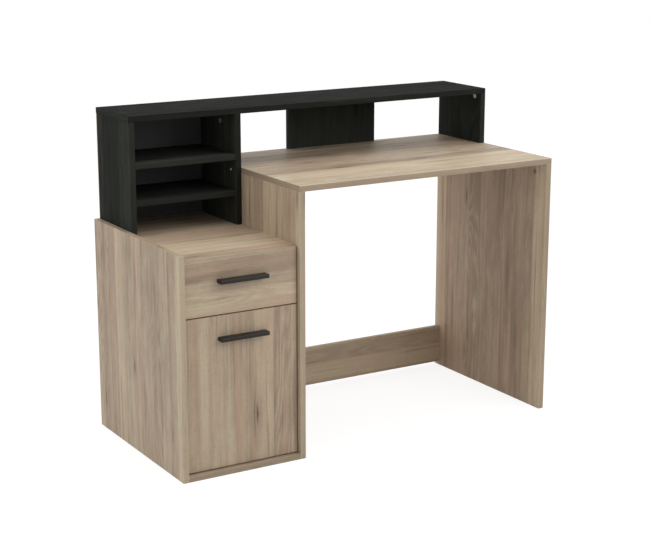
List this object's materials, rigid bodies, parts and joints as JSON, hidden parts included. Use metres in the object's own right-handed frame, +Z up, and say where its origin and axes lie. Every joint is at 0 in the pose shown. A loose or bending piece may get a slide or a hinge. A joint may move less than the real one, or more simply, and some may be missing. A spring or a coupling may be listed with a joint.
{
  "type": "computer desk",
  "caption": "Desk on a pedestal with a drawer over a cupboard, a plain end panel and a low rail, with a dark raised shelf and pigeonholes along the back.",
  "frame": {"origin": "on the floor, under the middle of the desk's bounding box", "axes": "+X along the desk to a sitter's right, +Y from the sitter to the back, +Z up"},
  "size_m": [1.18, 0.551, 0.915],
  "materials": {
    "oak_laminate": "matte",
    "dark_laminate": "matte",
    "dark_backboard": "matte",
    "pale_backboard": "matte",
    "drawer_box": "matte",
    "handle_anthracite": "satin",
    "runner_white": "satin",
    "roller_plastic": "matte",
    "hinge_steel": "satin",
    "screw_zinc": "satin",
    "cam_zinc": "satin",
    "dowel_beech": "matte",
    "stop_plastic": "matte",
    "bumper_clear": "satin"
  },
  "bodies": {
    "desk": {"pedestal_left_panel": "oak_laminate", "tall_panel": "oak_laminate", "pedestal_bottom_board": "oak_laminate", "pedestal_top_board": "oak_laminate", "pedestal_back_sheet": "pale_backboard", "cupboard_shelf": "oak_laminate", "shelf_pegs": "screw_zinc", "desk_top": "oak_laminate", "desk_right_panel": "oak_laminate", "desk_back_rail": "oak_laminate", "hutch_left_panel": "dark_laminate", "hutch_divider": "dark_laminate", "hutch_right_panel": "dark_laminate", "hutch_middle_panel": "dark_laminate", "hutch_top_board": "dark_laminate", "hutch_back_sheet": "dark_backboard", "hutch_lower_shelf": "dark_laminate", "hutch_upper_shelf": "dark_laminate", "desk_cam_locks": "cam_zinc", "hutch_cam_locks": "cam_zinc", "cam_bolts": "screw_zinc", "wood_dowels": "dowel_beech", "hutch_screws": "screw_zinc", "cabinet_runner_left": "runner_white", "cabinet_runner_right": "runner_white", "cabinet_runner_screws": "screw_zinc", "front_roller_axles": "screw_zinc", "hinge_plate_lower": "hinge_steel", "hinge_plate_upper": "hinge_steel", "hinge_arm_lower": "hinge_steel", "hinge_arm_upper": "hinge_steel", "cupboard_fitting_screws": "screw_zinc", "door_stop": "stop_plastic"},
    "drawer": {"drawer_front": "oak_laminate", "drawer_side_left": "drawer_box", "drawer_side_right": "drawer_box", "drawer_back": "drawer_box", "drawer_floor": "pale_backboard", "drawer_cam_locks": "cam_zinc", "drawer_cam_bolts": "screw_zinc", "drawer_dowels": "dowel_beech", "drawer_screws": "screw_zinc", "drawer_bumpers": "bumper_clear", "drawer_runner_left": "runner_white", "drawer_runner_right": "runner_white", "drawer_runner_screws": "screw_zinc", "rear_roller_axles": "screw_zinc", "drawer_handle": "handle_anthracite", "drawer_handle_screws": "screw_zinc"},
    "door": {"cupboard_door": "oak_laminate", "door_handle": "handle_anthracite", "door_handle_screws": "screw_zinc", "hinge_cup_lower": "hinge_steel", "hinge_cup_upper": "hinge_steel", "hinge_cup_screws": "screw_zinc"},
    "front_roller_left": {"front_roller_left": "roller_plastic"},
    "front_roller_right": {"front_roller_right": "roller_plastic"},
    "rear_roller_left": {"rear_roller_left": "roller_plastic"},
    "rear_roller_right": {"rear_roller_right": "roller_plastic"}
  },
  "joints": [
    {"name": "drawer_slide", "type": "slide", "parent": "desk", "child": "drawer", "axis": [0, -1, 0], "range_m": [0, 0.3]},
    {"name": "door_hinge", "type": "hinge", "parent": "desk", "child": "door", "pos_m": [-0.571, -0.2505, 0.226], "axis": [0, 0, -1], "range_deg": [0, 95]},
    {"name": "front_roller_left_spin", "type": "hinge", "parent": "desk", "child": "front_roller_left", "pos_m": [-0.56775, -0.2165, 0.46], "axis": [1, 0, 0], "range_deg": [0, 1790]},
    {"name": "front_roller_right_spin", "type": "hinge", "parent": "desk", "child": "front_roller_right", "pos_m": [-0.24625, -0.2165, 0.46], "axis": [1, 0, 0], "range_deg": [0, 1790]},
    {"name": "rear_roller_left_spin", "type": "hinge", "parent": "drawer", "child": "rear_roller_left", "pos_m": [-0.56775, 0.1515, 0.46], "axis": [1, 0, 0], "range_deg": [0, 1790]},
    {"name": "rear_roller_right_spin", "type": "hinge", "parent": "drawer", "child": "rear_roller_right", "pos_m": [-0.24625, 0.1515, 0.46], "axis": [1, 0, 0], "range_deg": [0, 1790]}
  ],
  "couplings": [
    {"joint": "front_roller_left_spin", "follows": "drawer_slide", "rad_per_m": 103.09},
    {"joint": "front_roller_right_spin", "follows": "drawer_slide", "rad_per_m": 103.09},
    {"joint": "rear_roller_left_spin", "follows": "drawer_slide", "rad_per_m": 103.09},
    {"joint": "rear_roller_right_spin", "follows": "drawer_slide", "rad_per_m": 103.09}
  ]
}
